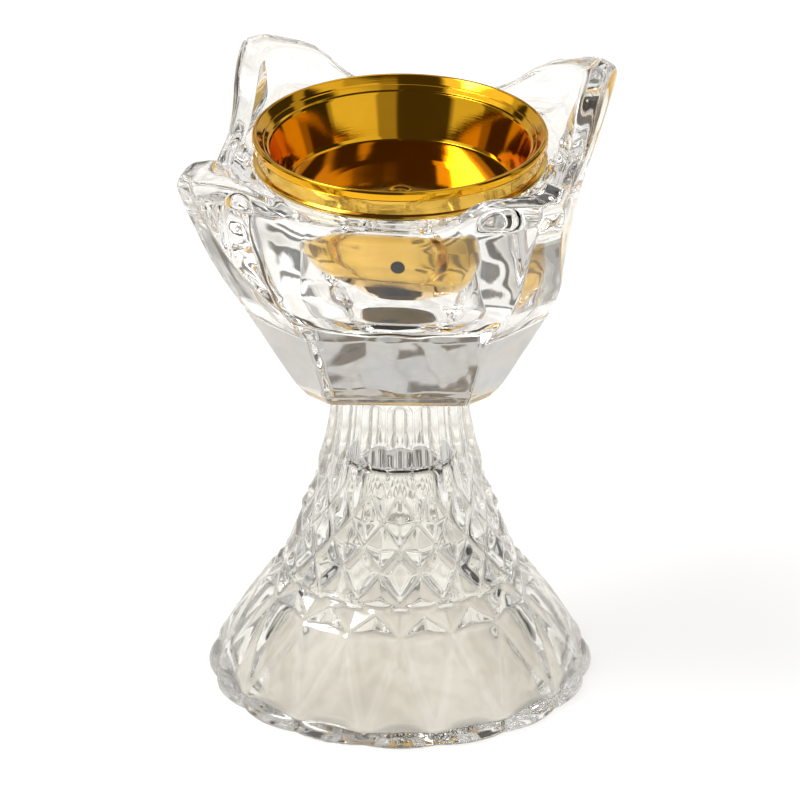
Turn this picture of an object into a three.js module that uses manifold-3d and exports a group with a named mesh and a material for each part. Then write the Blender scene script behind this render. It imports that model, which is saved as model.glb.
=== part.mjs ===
// Pressed crystal-glass incense burner: a hollow bell pedestal, a thick four-horned glass bowl bonded
// on top of it, and a two-wall gold-plated cup that lifts out of the bowl.
// Millimetres, +Z up, origin at the middle of the foot plane. The sides of the bowl's rim face
// X and Y, so its horns stand on the diagonals.
import * as THREE from "three";
import { mergeVertices } from "three/addons/utils/BufferGeometryUtils.js";
import Module from "manifold-3d";

const DEG = Math.PI / 180;

// ---- driving dimensions ----
const FOOT_R = 42.2; // widest radius of the pedestal, at the bead round the foot
const FOOT_REST_R = 41.2; // outer radius of the ground ring the pedestal stands on
const FOOT_OPEN_R = 35.2; // inner radius of that ring, the mouth of the hollow
const HOLLOW_TOP_Z = 52; // flat top of the hollow under the pedestal
const PEDESTAL_H = 71.8; // top of the pedestal neck
const FACETS = 16; // repeats of the cut pattern round the pedestal
const CUT_DEPTH = 1.5; // how far the diamond points stand over their grooves
const SCALLOP = 1.4; // depth of the notches between the lobes of the foot
const BOND_T = 0.3; // adhesive layer between pedestal and bowl
const BOND_R = 13.4;
const BOND_SEGMENTS = 48;
const BOWL_Z = PEDESTAL_H + BOND_T; // underside of the bowl
const LOWER_TWIST = 8.3; // degrees the bowl's lower tier is turned against its rim
const SEAT_Z = 121.7; // ledge in the bowl the cup rests on
const SEAT_R = 30.7; // inner radius of that ledge, the mouth of the cavity
const SEAT_OUTER_R = 32.6;
const CAVITY_Z = 92.4; // floor of the bowl's cavity
const LIP_H = 3.6; // height of the rounded outer shoulder along the bowl's rim
const LIP_D = 2.6; // how far that shoulder comes in
const CUP_R = 32; // crest of the cup
const CUP_TOP_Z = 128.4;
const CUP_SEGMENTS = 60;
const COLLAR_R = 31; // plain collar at the top of the shell
const COLLAR_TOP_Z = 127.4;
const SHELL_T = 0.4; // sheet thickness at the collar
const LINER_FLOOR_Z = 114.5; // flat middle of the pan, 31 mm across
const VENT_R = 1.6; // vent hole in the side of the shell
const VENT_Z = 112.2;
const VENT_ANGLE = (-90 + 9.8) * DEG; // 9.8 degrees from -Y towards +X

// ---- materials ----
const glassMaterial = () =>
  new THREE.MeshStandardMaterial({
    color: 0xdfe6e4,
    roughness: 0.04,
    metalness: 0,
    transparent: true,
    opacity: 0.4,
  });
const bondMaterial = () =>
  new THREE.MeshStandardMaterial({
    color: 0xe9ece6,
    roughness: 0.25,
    metalness: 0,
    transparent: true,
    opacity: 0.6,
  });
const goldMaterial = () =>
  new THREE.MeshStandardMaterial({ color: 0xcf9a35, roughness: 0.14, metalness: 1 });

// ---- shared helpers ----
const polarPoint = (angle, radius, z) => [radius * Math.cos(angle), radius * Math.sin(angle), z];

// Value in a column of a table, interpolated along its first column and held beyond its ends.
function lookUp(x, table, column) {
  if (x <= table[0][0]) return table[0][column];
  for (let i = 1; i < table.length; i++) {
    const low = table[i - 1];
    const high = table[i];
    if (x <= high[0]) {
      const share = (x - low[0]) / (high[0] - low[0]);
      return low[column] + (high[column] - low[column]) * share;
    }
  }
  return table[table.length - 1][column];
}

// Closed skin over rings of [x, y, z] with equal counts, listed from the middle of the underside,
// up the outside and back in. flip(i, j) picks the other diagonal of a cell.
// A fan to the axis closes each end ring.
function skin(rings, flip = () => false) {
  const count = rings[0].length;
  const positions = rings.flat(2);
  const indices = [];
  for (let i = 0; i + 1 < rings.length; i++) {
    for (let j = 0; j < count; j++) {
      const a = i * count + j;
      const b = i * count + ((j + 1) % count);
      const c = b + count;
      const d = a + count;
      if (flip(i, j)) indices.push(a, b, d, b, c, d);
      else indices.push(a, b, c, a, c, d);
    }
  }
  const closeEnd = (row, facesUp) => {
    const start = row * count;
    const middle = positions.length / 3;
    positions.push(0, 0, rings[row][0][2]);
    for (let j = 0; j < count; j++) {
      const a = start + j;
      const b = start + ((j + 1) % count);
      if (facesUp) indices.push(a, b, middle);
      else indices.push(b, a, middle);
    }
  };
  closeEnd(0, false);
  closeEnd(rings.length - 1, true);
  const geometry = new THREE.BufferGeometry();
  geometry.setAttribute("position", new THREE.Float32BufferAttribute(positions, 3));
  geometry.setIndex(indices);
  return geometry;
}

// ================= pedestal =================
// Four columns of points per facet: 0 is the corner between two tall triangles of the skirt,
// 2 is the apex of a triangle, 1 and 3 lie between. A rule gives the radius of columns 1 and 3.
const COLUMNS = FACETS * 4;
const HALF_FACET = Math.PI / FACETS;
const onChord = (corner, apex) =>
  Math.hypot((corner + apex * Math.cos(HALF_FACET)) / 2, (apex * Math.sin(HALF_FACET)) / 2);
const onArc = (corner, apex) => (corner + apex) / 2;
const onLobe = (corner, apex) => corner + (apex - corner) * 0.8;

function cutRing(z, corner, apex, betweenRule = onChord) {
  const between = betweenRule(corner, apex);
  const radii = [corner, between, apex, between];
  return Array.from({ length: COLUMNS }, (_, j) => {
    // an apex of the skirt faces the vent's side
    const angle = VENT_ANGLE + ((j - 2) / COLUMNS) * 2 * Math.PI;
    return polarPoint(angle, radii[j % 4], z);
  });
}
const roundRing = (z, radius) => cutRing(z, radius, radius, onArc);

// [z, radius] from the flat top of the hollow down to the foot
const HOLLOW = [
  [HOLLOW_TOP_Z, 7.5], [HOLLOW_TOP_Z - 0.5, 9.4], [HOLLOW_TOP_Z - 2.5, 10.4],
  [42, 12.6], [31, 17.2], [20, 23.6], [9, 31.4], [0.6, FOOT_OPEN_R - 0.4], [0, FOOT_OPEN_R],
];
// [z, inset of the lobes from FOOT_R, depth of the notches as a share of SCALLOP]
const FOOT_BEAD = [[0.6, 0.3, 0.95], [1.4, 0, 1], [2.3, 0.4, 0.8], [3.0, 1.3, 0.2]];
const SKIRT_BASE_R = 40.9; // radius at the corners of the skirt's straight base
const SKIRT_HEAD_R = 30.3; // radius at the apexes, the corners of its straight head
const DIAMOND_TOP = [26.8, 25.5]; // [z, radius] of the round edge below the diamonds
// [z, mean radius] of the rows of diamond points above that edge
const DIAMONDS = [[33.0, 22.9], [38.2, 21.3], [43.6, 19.4], [50.0, 17.5]];
// [z, corner radius, apex radius] of the long pointed flutes into the neck
const FLUTES = [[58.5, 15.9, 15.4], [62.4, 15.3, 14.7], [67.5, 14.9, 14.2]];

function pedestalGeometry() {
  const rings = HOLLOW.map(([z, radius]) => roundRing(z, radius));

  // one lobe under each tall triangle, a notch under each of their corners
  rings.push(cutRing(0, FOOT_REST_R - 1.0, FOOT_REST_R, onLobe));
  for (const [z, inset, notch] of FOOT_BEAD) {
    const lobe = FOOT_R - inset;
    rings.push(cutRing(z, lobe - SCALLOP * notch, lobe, onLobe));
  }
  rings.push(roundRing(3.4, 40.3));

  const skirtRow = rings.length;
  rings.push(cutRing(3.8, SKIRT_BASE_R, SKIRT_BASE_R * Math.cos(HALF_FACET)));
  rings.push(cutRing(20.6, SKIRT_HEAD_R * Math.cos(HALF_FACET), SKIRT_HEAD_R));

  // belt of small sharp facets, its corners in and out by turns
  const beltRow = rings.length;
  rings.push(cutRing(21.2, 27.9, 29.5), cutRing(25.4, 27.0, 25.2), roundRing(26.0, 25.6));

  // rows of diamond points over grooves, corners and apexes trading places each row
  const diamondRow = rings.length;
  rings.push(roundRing(...DIAMOND_TOP));
  DIAMONDS.forEach(([z, radius], i) => {
    const groove = radius - CUT_DEPTH / 2;
    const point = radius + CUT_DEPTH / 2;
    rings.push(i % 2 ? cutRing(z, point, groove) : cutRing(z, groove, point));
  });
  const fluteRow = rings.length - 1;

  for (const [z, corner, apex] of FLUTES) rings.push(cutRing(z, corner, apex));
  rings.push(cutRing(71.0, 14.6, 14.2, onArc), roundRing(PEDESTAL_H, 14.0));

  // the diagonals run along the folds of the pattern
  const flip = (i, j) => {
    const beforeApex = j % 4 < 2;
    if (i === skirtRow) return !beforeApex; // from corner at the base to apex at the head
    if (i === beltRow) return beforeApex; // from apex below to corner above
    if (i >= diamondRow && i < fluteRow) {
      // from groove to groove
      return (i - diamondRow) % 2 === 0 ? beforeApex : !beforeApex;
    }
    return false;
  };
  return skin(rings, flip);
}

// ================= adhesive layer =================
function bondGeometry() {
  const ring = (z) =>
    Array.from({ length: BOND_SEGMENTS }, (_, j) =>
      polarPoint((j / BOND_SEGMENTS) * 2 * Math.PI, BOND_R, z));
  return skin([ring(PEDESTAL_H), ring(BOWL_Z)]);
}

// ================= bowl =================
// Each section is a square with cut corners.
// [z, half width, half length of the long sides, share of LOWER_TWIST]
const SECTIONS = [
  [72.1, 20.3, 15.2, 1], [93.3, 32.2, 19.2, 1], [100, 34.6, 23.8, 0.92],
  [106, 36.6, 27.8, 0.68], [112.6, 38.5, 31.2, 0.36], [118.3, 39.7, 33.6, 0.15],
  [125, 41.1, 36.4, 0.03], [129, 41.9, 37.7, 0], [132, 42.5, 38.6, 0],
];
const SECTION_TOP_Z = 132;
// [distance along a side from its middle, height of the rim]
const RIM = [
  [0, 121.9], [8, 121.9], [15, 122.6], [18.4, 123.9], [22, 125.9],
  [25, 128.4], [28, 130.2], [32, 131.1], [37, 131.6], [60, 131.9],
];
// [inset, height over the underside, corner rounding] of the bowl's bottom edge
const BOTTOM_EDGE = [[8, 0, 0.8], [1.3, 0, 1.0], [0.4, 0.35, 1.2], [0, 1.3, 1.4]];
const WALL_Z = 94.4; // top of the level rings; the wall above them follows the rim
const LOWER_TIER_Z = [80, 88, 92.6, 93.3, WALL_Z];
const WALL_STEPS = 8;
const LIP_STEPS = 4;
const CROWN_DROP = 0.2; // inner edge of the crown below its outer edge
// [share of the way in to the seat, share of the way down to it] inside the rim
const INNER_SLOPE = [[0, 0.16], [0.1, 0.5], [0.24, 0.78], [0.5, 0.94]];
// [radius, z] from the mouth of the cavity down to its floor
const CAVITY = [
  [30.4, 120.2], [30.3, 114], [29.9, 107.5], [29.2, 102],
  [27.4, 97.4], [24.4, 94.2], [20, 92.7], [14, CAVITY_Z],
];
const LONG_STEPS = 12; // subdivisions of a long side
const SHORT_STEPS = 3; // subdivisions of a cut corner
const ROUNDING_POINTS = 3; // points on each rounded vertex

// The [x, y] points of a section, its eight vertices rounded and the whole turned about Z.
function sectionPoints(half, flat, degrees, rounding) {
  const vertices = [
    [-half, -flat], [-flat, -half], [flat, -half], [half, -flat],
    [half, flat], [flat, half], [-flat, half], [-half, flat],
  ];
  const setback = rounding * Math.tan(22.5 * DEG);
  const stepToward = (from, to) => {
    const dx = to[0] - from[0];
    const dy = to[1] - from[1];
    const scale = setback / Math.hypot(dx, dy);
    return [from[0] + dx * scale, from[1] + dy * scale];
  };
  const points = [];
  for (let i = 0; i < 8; i++) {
    const vertex = vertices[i];
    const next = vertices[(i + 1) % 8];
    const start = stepToward(vertex, vertices[(i + 7) % 8]);
    const end = stepToward(vertex, next);
    for (let k = 0; k < ROUNDING_POINTS; k++) {
      const s = k / (ROUNDING_POINTS - 1);
      const rest = 1 - s;
      points.push([0, 1].map((axis) =>
        rest * rest * start[axis] + 2 * s * rest * vertex[axis] + s * s * end[axis]));
    }
    const sideEnd = stepToward(next, vertex);
    const steps = i % 2 ? LONG_STEPS : SHORT_STEPS;
    for (let k = 1; k < steps; k++) {
      points.push([0, 1].map((axis) => end[axis] + ((sideEnd[axis] - end[axis]) * k) / steps));
    }
  }
  const cos = Math.cos(degrees * DEG);
  const sin = Math.sin(degrees * DEG);
  return points.map(([x, y]) => [x * cos - y * sin, x * sin + y * cos]);
}

function sectionAt(z, inset = 0) {
  const half = lookUp(z, SECTIONS, 1) - inset;
  const flat = lookUp(z, SECTIONS, 2) - inset * 0.6;
  return sectionPoints(half, flat, lookUp(z, SECTIONS, 3) * LOWER_TWIST, 1.4);
}

// Radius of a rounded square (superellipse) at an angle.
const squareRadius = (angle, half, power) =>
  half / (Math.abs(Math.cos(angle)) ** power + Math.abs(Math.sin(angle)) ** power) ** (1 / power);

function bowlGeometry() {
  const rings = [];
  const level = (points, z) => points.map(([x, y]) => [x, y, z]);
  const [, bottomHalf, bottomFlat] = SECTIONS[0];
  for (const [inset, rise, rounding] of BOTTOM_EDGE) {
    const half = bottomHalf - inset;
    const flat = bottomFlat - inset * 0.75;
    rings.push(level(sectionPoints(half, flat, LOWER_TWIST, rounding), BOWL_Z + rise));
  }
  for (const z of LOWER_TIER_Z) rings.push(level(sectionAt(z), z));

  // upper wall, each column of points reaching up to its own rim height
  const rim = sectionAt(SECTION_TOP_Z).map(([x, y]) =>
    lookUp(Math.min(Math.abs(x), Math.abs(y)), RIM, 1));
  const outerRing = (heights, inset) => heights.map((z, j) => [...sectionAt(z, inset)[j], z]);
  for (let k = 1; k <= WALL_STEPS; k++) {
    const heights = rim.map((z) => WALL_Z + ((z - LIP_H - WALL_Z) * k) / WALL_STEPS);
    rings.push(outerRing(heights, 0));
  }
  for (let k = 1; k <= LIP_STEPS; k++) {
    const turn = (k / LIP_STEPS) * 90 * DEG;
    const heights = rim.map((z) => z - LIP_H * (1 - Math.sin(turn)));
    rings.push(outerRing(heights, LIP_D * (1 - Math.cos(turn))));
  }

  // inside, square at the crown and round from the seat down
  const crown = rings[rings.length - 1];
  const angles = crown.map(([x, y]) => Math.atan2(y, x));
  const innerRing = (radii, heights) =>
    angles.map((angle, j) => polarPoint(angle, radii[j], heights[j]));
  const edgeRadii = crown.map(([x, y], j) =>
    Math.min(squareRadius(angles[j], 36.0, 16), Math.hypot(x, y) - 0.8));
  const edgeHeights = rim.map((z) => z - CROWN_DROP);
  rings.push(innerRing(edgeRadii, edgeHeights));
  const wallRadii = angles.map((angle, j) =>
    Math.min(squareRadius(angle, 35.2, 14), edgeRadii[j] - 0.3));
  for (const [inward, down] of INNER_SLOPE) {
    const radii = wallRadii.map((radius) => radius + (SEAT_OUTER_R - radius) * inward);
    rings.push(innerRing(radii, edgeHeights.map((z) => z - (z - SEAT_Z) * down)));
  }
  for (const [radius, z] of [[SEAT_OUTER_R, SEAT_Z], [SEAT_R, SEAT_Z], ...CAVITY]) {
    rings.push(angles.map((angle) => polarPoint(angle, radius, z)));
  }
  return skin(rings);
}

// ================= cup =================
// Outlines of [radius, z], anticlockwise with radius to the right and Z up, from axis to axis.
// Shell: deep outer bowl, the hem that hangs it in the glass and a plain collar above.
const SHELL_OUTLINE = [
  [0, 97.0], [4, 97.1], [8, 97.6], [13.5, 99.2], [18.5, 101.8], [23.5, 104.9],
  [27.4, 108.2], [29.2, 111.6], [29.8, 116], [30.0, 120.6],
  [30.2, SEAT_Z], [31.75, SEAT_Z], [31.95, 122.1], [31.7, 122.6],
  [COLLAR_R, 122.8], [COLLAR_R, COLLAR_TOP_Z],
  [COLLAR_R - SHELL_T, COLLAR_TOP_Z], [COLLAR_R - SHELL_T, 122.6],
  [30.2, 122.1], [29.6, 120.7], [29.4, 116.1], [28.8, 111.8], [27.1, 108.6],
  [23.3, 105.35], [18.3, 102.25], [13.4, 99.65], [7.9, 98.05], [3.9, 97.55], [0, 97.45],
];
// Liner: two-step funnel lip whose turned-down edge covers the collar, steep wall,
// dished floor with a flat middle and a small centre dimple.
const FLOOR = LINER_FLOOR_Z;
const LINER_OUTLINE = [
  [0, FLOOR - 0.9], [2.1, FLOOR - 0.9], [2.6, FLOOR - 0.45], [15.6, FLOOR - 0.45],
  [20.1, FLOOR], [24.3, FLOOR + 0.65], [25.3, FLOOR + 1.3], [28.5, 124.8],
  [28.9, 125.2], [30.5, COLLAR_TOP_Z], [31.05, COLLAR_TOP_Z], [31.15, 126.2], [31.8, 126.2],
  [CUP_R, 126.5], [CUP_R, 127.9], [31.75, 128.3], [31.4, CUP_TOP_Z],
  [31.0, 128.3], [29.8, 127.0], [29.4, 126.5], [28.8, 125.75], [28.3, 125.45], [28.05, 125.0],
  [25.1, FLOOR + 1.85], [24.7, FLOOR + 1.3], [24.2, FLOOR + 1.1], [20.0, FLOOR + 0.45],
  [17.5, FLOOR + 0.12], [15.5, FLOOR], [2.5, FLOOR], [1.9, FLOOR - 0.35], [0, FLOOR - 0.4],
];

function turned(outline) {
  const points = outline.map(([radius, z]) => new THREE.Vector2(radius, z));
  return new THREE.LatheGeometry(points, CUP_SEGMENTS).rotateX(Math.PI / 2);
}

const manifold = await Module();
manifold.setup();

// Keeps positions only, so that the vertices along seams weld.
function toSolid(geometry) {
  const bare = new THREE.BufferGeometry();
  bare.setAttribute("position", geometry.toNonIndexed().getAttribute("position"));
  const welded = mergeVertices(bare, 1e-3);
  return new manifold.Manifold(new manifold.Mesh({
    numProp: 3,
    vertProperties: welded.attributes.position.array,
    triVerts: new Uint32Array(welded.index.array),
  }));
}

function fromSolid(solid) {
  const { vertProperties, triVerts } = solid.getMesh();
  return new THREE.BufferGeometry()
    .setAttribute("position", new THREE.BufferAttribute(vertProperties, 3))
    .setIndex(new THREE.BufferAttribute(triVerts, 1));
}

// The vent is cut with a short rod laid across the wall.
function shellGeometry() {
  const rod = new THREE.CylinderGeometry(VENT_R, VENT_R, 8, 16)
    .rotateZ(Math.PI / 2)
    .translate(29, 0, VENT_Z)
    .rotateZ(VENT_ANGLE);
  return fromSolid(toSolid(turned(SHELL_OUTLINE)).subtract(toSolid(rod)));
}

// ================= assembly =================
const root = new THREE.Group();

function addMesh(name, geometry, material) {
  geometry.computeVertexNormals();
  const mesh = new THREE.Mesh(geometry, material);
  mesh.name = name;
  root.add(mesh);
}

addMesh("base_pedestal", pedestalGeometry(), glassMaterial());
addMesh("bond_layer", bondGeometry(), bondMaterial());
addMesh("bowl", bowlGeometry(), glassMaterial());
addMesh("cup_shell", shellGeometry(), goldMaterial());
addMesh("cup_liner", turned(LINER_OUTLINE), goldMaterial());

export default root;
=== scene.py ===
"""Looks for the glass incense burner: pedestal, adhesive layer, bowl and a two-wall gold cup.

The burner stands upright round the Z axis with its foot on z = 0. Shapes are given in millimetres
and turned into metres when a mesh is made; shaders, floor patterns and lights work in metres.
The camera's side is -Y, turned by VIEW_AZ towards +X.
"""

import math

import bpy
import numpy as np
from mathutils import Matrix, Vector


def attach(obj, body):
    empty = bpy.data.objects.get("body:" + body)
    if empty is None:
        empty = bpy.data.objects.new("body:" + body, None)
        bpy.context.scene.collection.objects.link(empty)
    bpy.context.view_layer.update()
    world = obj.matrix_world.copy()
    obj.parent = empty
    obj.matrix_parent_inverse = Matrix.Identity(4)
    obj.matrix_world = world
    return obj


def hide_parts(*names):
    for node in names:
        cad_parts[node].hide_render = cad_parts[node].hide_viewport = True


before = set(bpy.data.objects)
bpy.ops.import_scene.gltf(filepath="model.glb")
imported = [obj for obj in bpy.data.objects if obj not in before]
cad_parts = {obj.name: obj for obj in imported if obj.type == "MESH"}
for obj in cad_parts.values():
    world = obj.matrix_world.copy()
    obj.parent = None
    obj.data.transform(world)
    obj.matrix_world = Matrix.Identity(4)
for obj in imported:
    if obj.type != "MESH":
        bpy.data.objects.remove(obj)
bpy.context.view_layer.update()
MM = 0.001
DEG = math.pi / 180

# ---------------------------------------------------------------- shared dimensions
PEDESTAL_H = 71.8
BOWL_Z = 72.1  # underside of the bowl; the adhesive fills the gap below it
BOND_R = 13.4  # radius of the bonded disc
SEAT_Z = 121.7  # ledge in the bowl that carries the cup
VIEW_AZ = 9.8  # degrees from -Y towards +X
VIEW_TURN = (-90 + VIEW_AZ) * DEG  # the same direction as an angle from +X
VIEW_COS, VIEW_SIN = math.cos(VIEW_AZ * DEG), math.sin(VIEW_AZ * DEG)


# ---------------------------------------------------------------- curves
def pchip(x, xs, ys):
    """Monotone cubic through the knots."""
    xs, ys = np.asarray(xs, float), np.asarray(ys, float)
    step = np.diff(xs)
    slope = np.diff(ys) / step
    tangent = np.zeros(len(xs))
    tangent[0], tangent[-1] = slope[0], slope[-1]
    for i in range(1, len(xs) - 1):
        if slope[i - 1] * slope[i] > 0:
            w1, w2 = 2 * step[i] + step[i - 1], step[i] + 2 * step[i - 1]
            tangent[i] = (w1 + w2) / (w1 / slope[i - 1] + w2 / slope[i])
    x = np.clip(np.asarray(x, float), xs[0], xs[-1])
    k = np.clip(np.searchsorted(xs, x, "right") - 1, 0, len(xs) - 2)
    t = (x - xs[k]) / step[k]
    return (
        (1 + 2 * t) * (1 - t) ** 2 * ys[k]
        + t * (1 - t) ** 2 * step[k] * tangent[k]
        + t * t * (3 - 2 * t) * ys[k + 1]
        + t * t * (t - 1) * step[k] * tangent[k + 1]
    )


def resample(outline, count, curve):
    """Points (r, z) evenly spaced along an outline, read with curve(x, xs, ys)."""
    r, z = np.array(outline, float).T
    length = np.r_[0, np.cumsum(np.hypot(np.diff(r), np.diff(z)))]
    places = np.linspace(0, length[-1], count)
    return [(float(curve(s, length, r)), float(curve(s, length, z))) for s in places]


def corner_arc(start, corner, end, count):
    """Points of a quadratic curve that rounds a corner."""
    steps = [k / (count - 1) for k in range(count)]
    return [(1 - s) ** 2 * start + 2 * s * (1 - s) * corner + s * s * end for s in steps]


def make_waves(count=26, seed=11):
    """Random plane waves, 5 to 22 mm long: (wave vector, phase, weight)."""
    rng = np.random.RandomState(seed)
    waves = []
    for _ in range(count):
        heading = rng.normal(size=3)
        heading /= np.linalg.norm(heading)
        length = 5.0 + 17.0 * rng.rand()
        phase = rng.rand() * 2 * math.pi
        waves.append((heading * 2 * math.pi / length, phase, (length / 14.0) ** 1.2))
    return waves


WAVES = make_waves()


def wobble(points):
    """A smooth field, about -1 to 1: the soft unevenness of glass left by the mould."""
    out = np.zeros(points.shape[:-1])
    for vector, phase, weight in WAVES:
        out += weight * np.sin(points @ vector + phase)
    return out / math.sqrt(sum(weight * weight for _, _, weight in WAVES) / 2) / 2.2


# ---------------------------------------------------------------- ring grids [row, column, xyz]
def ring_normals(grid):
    """Outward normals of rings closed round the columns."""
    around = np.roll(grid, -1, 1) - np.roll(grid, 1, 1)
    along = np.gradient(grid, axis=0)
    normals = np.cross(around, along)
    return normals / np.maximum(np.linalg.norm(normals, axis=-1, keepdims=True), 1e-9)


def push(grid, normals, amount):
    return grid + normals * amount[..., None]


def blur(grid, amount, row_weights, times):
    """Rounds edges by moving points towards their neighbours; row_weights scales it by row."""
    weight = (np.asarray(row_weights, float) * amount)[:, None, None]
    for _ in range(times):
        beside = (np.roll(grid, 1, 1) + np.roll(grid, -1, 1)) / 2
        grid = grid + weight * 0.5 * (beside - grid)
        between = grid.copy()
        between[1:-1] = (grid[:-2] + grid[2:]) / 2
        grid = grid + weight * 0.5 * (between - grid)
    return grid


def ring_faces(rows, cols):
    """Quads from the first row to the last, then a fan to a middle vertex at each end."""
    faces = []
    for i in range(rows - 1):
        row = i * cols
        for j in range(cols):
            k = (j + 1) % cols
            faces.append((row + j, row + k, row + cols + k, row + cols + j))
    middle = rows * cols
    last = middle - cols
    faces += [((j + 1) % cols, j, middle) for j in range(cols)]
    faces += [(last + j, last + (j + 1) % cols, middle + 1) for j in range(cols)]
    return faces


def shade_smooth(mesh):
    mesh.polygons.foreach_set("use_smooth", [True] * len(mesh.polygons))


def mesh_object(name, verts, faces, materials, face_slot=None):
    mesh = bpy.data.meshes.new(name)
    mesh.from_pydata([tuple(v) for v in (np.asarray(verts) * MM)], [], faces)
    mesh.update()
    for material in materials:
        mesh.materials.append(material)
    shade_smooth(mesh)
    if face_slot is not None:
        mesh.polygons.foreach_set("material_index", list(face_slot))
    mesh.validate()
    ob = bpy.data.objects.new(name, mesh)
    bpy.context.scene.collection.objects.link(ob)
    return ob


def ring_body(name, grid, materials, face_slot=None, ends=None):
    """Closed body from a ring grid; ends are its two middle vertices, level by default."""
    if ends is None:
        ends = [[0, 0, grid[0, :, 2].mean()], [0, 0, grid[-1, :, 2].mean()]]
    verts = np.vstack([grid.reshape(-1, 3), ends])
    return mesh_object(name, verts, ring_faces(*grid.shape[:2]), materials, face_slot)


# ---------------------------------------------------------------- pedestal
# "fold" is the place round the cut pattern: 0 at the foot of a skirt fold, 1 at its apex.
FACETS = 16
BETA = math.pi / FACETS  # angle from fold foot to apex
FACET_COLS = 24  # mesh columns per facet
# Heights are written out beside the tops because the branches below test them exactly.
SKIRT_Z, SKIRT_H, SKIRT_TOP = 3.8, 16.8, 20.6
SKIRT_FOOT_R, SKIRT_TOP_R = 40.9, 30.3
SKIRT_HOLLOW, SKIRT_BELLY = 0.62, 0.5  # dish of each facet, swell of the whole skirt
BAND_Z, BAND_H, BAND_TOP = 21.2, 4.3, 25.5
BAND_TRIANGLES = [  # corners (fold, z, r)
    ((0, 21.2, 27.9), (1, 21.2, 29.5), (0, 25.4, 27.0)),
    ((1, 21.2, 29.5), (1, 25.4, 25.2), (0, 25.4, 27.0)),
]
DIAMOND_Z = [26.8, 33.0, 38.2, 43.6, 50.0]  # rows of diamond corners
DIAMOND_R = [25.4, 22.9, 21.3, 19.4, 17.5]
DIAMOND_CUT = 1.5  # points over grooves
FLUTE_Z, DIAMOND_TOP = DIAMOND_Z[3:]  # flutes start behind the last row of diamonds
RIDGE_Z = [43.6, 46.5, 50.0, 54.0, 58.5, 62.4, 67.5, 70.8]
RIDGE_R = [21.0, 19.5, 18.12, 16.95, 16.1, 15.5, 15.05, 14.75]
FLUTE_DEPTH_Z = [43.6, 50.0, 58.5, 62.4, 67.5]
FLUTE_DEPTH = [1.2, 1.3, 1.2, 1.1, 1.0]
HOLLOW = [  # hollow underneath, from its roof down to the foot: r, z
    (3.0, 52.0), (7.2, 52.0), (8.6, 51.85), (9.4, 51.4), (9.9, 50.6), (10.4, 49.5), (12.6, 42),
    (17.2, 31), (23.6, 20), (31.4, 9), (34.7, 1.2), (34.95, 0.45), (35.2, 0.0),
]
HOLLOW_ROWS = 74
FOOT_FLAT_R = (36.5, 38.5, 39.9)
FOOT_R, SCALLOP = 42.2, 1.4  # lobes of the foot, notches between them
FOOT_EDGE = [  # share of the lobe's reach, z
    (0.68, 0.07), (0.84, 0.25), (0.95, 0.6), (1.0, 1.1), (1.0, 1.6), (0.95, 2.1), (0.84, 2.5),
    (0.65, 2.85), (0.4, 3.1), (0.14, 3.3), (0.0, 3.45),
]
TOP_EDGE = [(14.75, 70.9), (14.7, 71.2), (14.55, 71.5), (14.3, 71.72), (14.0, 71.8)]  # r, z
TOP_FLAT_R = (13.7, BOND_R, 12.0, 7.0, 3.0)


def skirt_radius(fold, z):
    """Dished triangles, alternately standing on their base and hanging from it."""
    u = np.clip((z - SKIRT_Z) / (SKIRT_TOP - SKIRT_Z), 0, 1)
    foot, top, cos_beta = SKIRT_FOOT_R, SKIRT_TOP_R, math.cos(BETA)
    stand = (foot * cos_beta + (top - foot * cos_beta) * u) / np.cos((1 - fold) * BETA)
    hang = (foot + (top * cos_beta - foot) * u) / np.cos(fold * BETA)
    across_stand = np.clip(1 - (1 - fold) / np.maximum(1 - u, 1e-6), 0, 1)
    across_hang = np.clip(1 - fold / np.maximum(u, 1e-6), 0, 1)
    stand_dish = SKIRT_HOLLOW * np.sin(across_stand * math.pi / 2) * (1 - u) ** 0.6
    hang_dish = SKIRT_HOLLOW * np.sin(across_hang * math.pi / 2) * u ** 0.6
    facet = np.where(fold >= u, stand - stand_dish, hang - hang_dish)
    return facet + SKIRT_BELLY * np.sin(u * math.pi)


def band_radius(fold, z):
    """Radius over BAND_TRIANGLES, each a true plane."""
    z = np.clip(z, BAND_Z, 25.4)
    angle = fold * BETA
    out = np.zeros(fold.shape)
    for triangle in BAND_TRIANGLES:
        corners = np.array(
            [[r * math.cos(x * BETA), r * math.sin(x * BETA), h] for x, h, r in triangle]
        )
        normal = np.cross(corners[1] - corners[0], corners[2] - corners[0])
        (x0, z0), (x1, z1), (x2, z2) = flat = [(x, h) for x, h, _ in triangle]
        area = (x1 - x0) * (z2 - z0) - (x2 - x0) * (z1 - z0)
        inside = np.ones(fold.shape, bool)
        for (xa, za), (xb, zb) in zip(flat, flat[1:] + flat[:1]):
            side = (xb - xa) * (z - za) - (fold - xa) * (zb - za)
            inside &= side * np.sign(area) >= -1e-9
        slant = normal[0] * np.cos(angle) + normal[1] * np.sin(angle)
        radius = (normal @ corners[0] - normal[2] * z) / slant
        out[inside] = radius[inside]
    return out


def diamond_radius(fold, z):
    row = np.interp(z, DIAMOND_Z, range(5))

    def zigzag(s):
        return np.abs(s - 2 * np.round(s / 2))

    height = 1 - np.maximum(zigzag(fold + row), zigzag(fold - row))
    # the lowest row of whole diamonds has level tops
    level_top = (np.abs(fold - 1) + np.abs(row - 1) < 1) & (row < 2)
    height = np.where(level_top, 0.85 * np.minimum(height / 0.42, 1) ** 0.9, height)
    fade = np.clip((z - 26.2) / 2.0, 0.3, 1)
    return pchip(z, DIAMOND_Z, DIAMOND_R) + DIAMOND_CUT * fade * (height - 0.5)


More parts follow.
